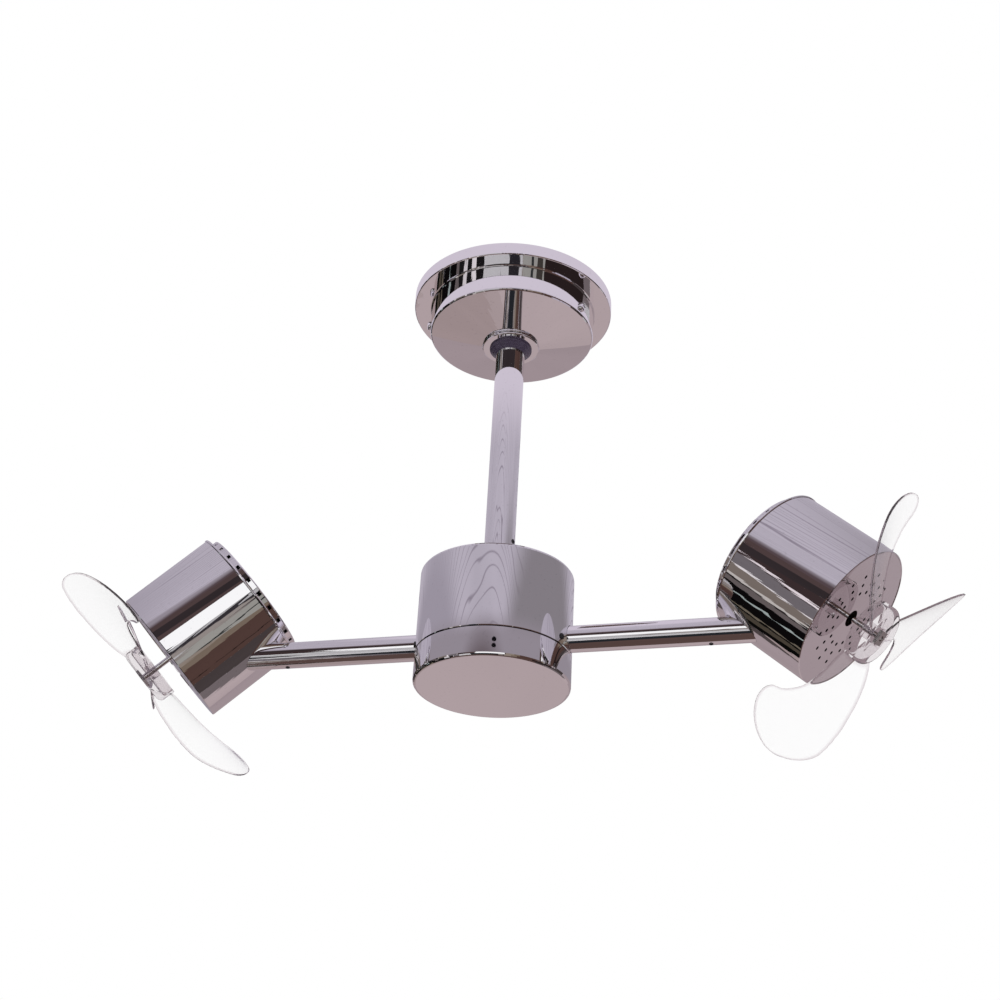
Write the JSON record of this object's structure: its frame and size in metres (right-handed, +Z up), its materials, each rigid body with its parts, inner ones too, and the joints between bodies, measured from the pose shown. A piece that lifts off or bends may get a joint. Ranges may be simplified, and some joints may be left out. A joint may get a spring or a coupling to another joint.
{
  "type": "twin head ceiling fan",
  "caption": "Ceiling fan with a canopy, a down rod and a turning hub whose two arms carry drum-shaped motor heads with clear propellers, tipped outwards and down.",
  "frame": {"origin": "centre of the ceiling plate's top face, on the ceiling", "axes": "+Z up, square to the ceiling; +X along the two arms; -Y the side the heads lean towards"},
  "size_m": [0.767, 0.2374, 0.4578],
  "materials": {
    "chrome_plate": "bright nickel-chrome plate, mirror smooth with faint spinning ripple",
    "zinc_steel": "zinc plated steel, lightly brushed",
    "die_cast": "as-cast aluminium, fine grain",
    "black_screw": "black oxide screws",
    "dark_rubber": "dark purplish rubber, satin",
    "clear_plastic": "clear moulded plastic with a faint grey-mauve edge tint",
    "nylon": "natural nylon",
    "black_case": "black moulded case",
    "copper": "enamelled copper wire and copper rings",
    "brass": "turned brass",
    "laminated_iron": "stacked steel laminations, blued"
  },
  "bodies": {
    "fixed": {"ceiling_plate": "zinc_steel", "canopy": "chrome_plate", "canopy_screws": "chrome_plate", "canopy_collar": "chrome_plate", "collar_clip": "zinc_steel", "canopy_grommet": "dark_rubber", "terminal_block": "nylon", "cross_pin": "zinc_steel", "cross_pin_nut": "zinc_steel", "downrod": "chrome_plate", "rod_screw": "black_screw", "hub_spindle": "zinc_steel", "spindle_nut": "brass", "slip_ring": "copper"},
    "orbit": {"hub_carrier": "die_cast", "hub_bearings": "zinc_steel", "hub_shell": "chrome_plate", "hub_shell_screws": "black_screw", "hub_cup": "chrome_plate", "cup_spring_ring": "zinc_steel", "brush_block": "nylon", "capacitors": "black_case", "arm_set_screws": "black_screw"},
    "head_left": {"arm_left": "chrome_plate", "arm_plug_left": "zinc_steel", "head_bolt_left": "zinc_steel", "head_saddle_left": "die_cast", "head_shell_left": "chrome_plate", "front_plate_left": "chrome_plate", "rear_cap_left": "chrome_plate", "stator_left": "laminated_iron", "windings_left": "copper", "motor_brackets_left": "die_cast", "motor_bearings_left": "brass", "motor_bolts_left": "zinc_steel", "motor_standoffs_left": "nylon", "arm_foot_screw_left": "black_screw"},
    "fan_left": {"rotor_left": "laminated_iron", "motor_shaft_left": "chrome_plate", "propeller_left": "clear_plastic", "prop_clip_left": "zinc_steel"},
    "head_right": {"arm_right": "chrome_plate", "arm_plug_right": "zinc_steel", "head_bolt_right": "zinc_steel", "head_saddle_right": "die_cast", "head_shell_right": "chrome_plate", "front_plate_right": "chrome_plate", "rear_cap_right": "chrome_plate", "stator_right": "laminated_iron", "windings_right": "copper", "motor_brackets_right": "die_cast", "motor_bearings_right": "brass", "motor_bolts_right": "zinc_steel", "motor_standoffs_right": "nylon", "arm_foot_screw_right": "black_screw"},
    "fan_right": {"rotor_right": "laminated_iron", "motor_shaft_right": "chrome_plate", "propeller_right": "clear_plastic", "prop_clip_right": "zinc_steel"}
  },
  "joints": [
    {"name": "orbit_spin", "type": "hinge", "parent": "fixed", "child": "orbit", "pos_m": [0, 0, -0.3546], "axis": [0, 0, 1], "continuous": true},
    {"name": "head_swivel_left", "type": "hinge", "parent": "orbit", "child": "head_left", "pos_m": [-0.06, 0, -0.3546], "axis": [1, 0, 0], "range_deg": [-38, 52]},
    {"name": "head_swivel_right", "type": "hinge", "parent": "orbit", "child": "head_right", "pos_m": [0.06, 0, -0.3546], "axis": [1, 0, 0], "range_deg": [-39, 51]},
    {"name": "fan_spin_left", "type": "hinge", "parent": "head_left", "child": "fan_left", "pos_m": [-0.3023, 0, -0.3546], "axis": [-0.7373, -0.0823, -0.6706], "continuous": true},
    {"name": "fan_spin_right", "type": "hinge", "parent": "head_right", "child": "fan_right", "pos_m": [0.3023, 0, -0.3546], "axis": [0.7373, -0.0706, -0.6719], "continuous": true}
  ]
}
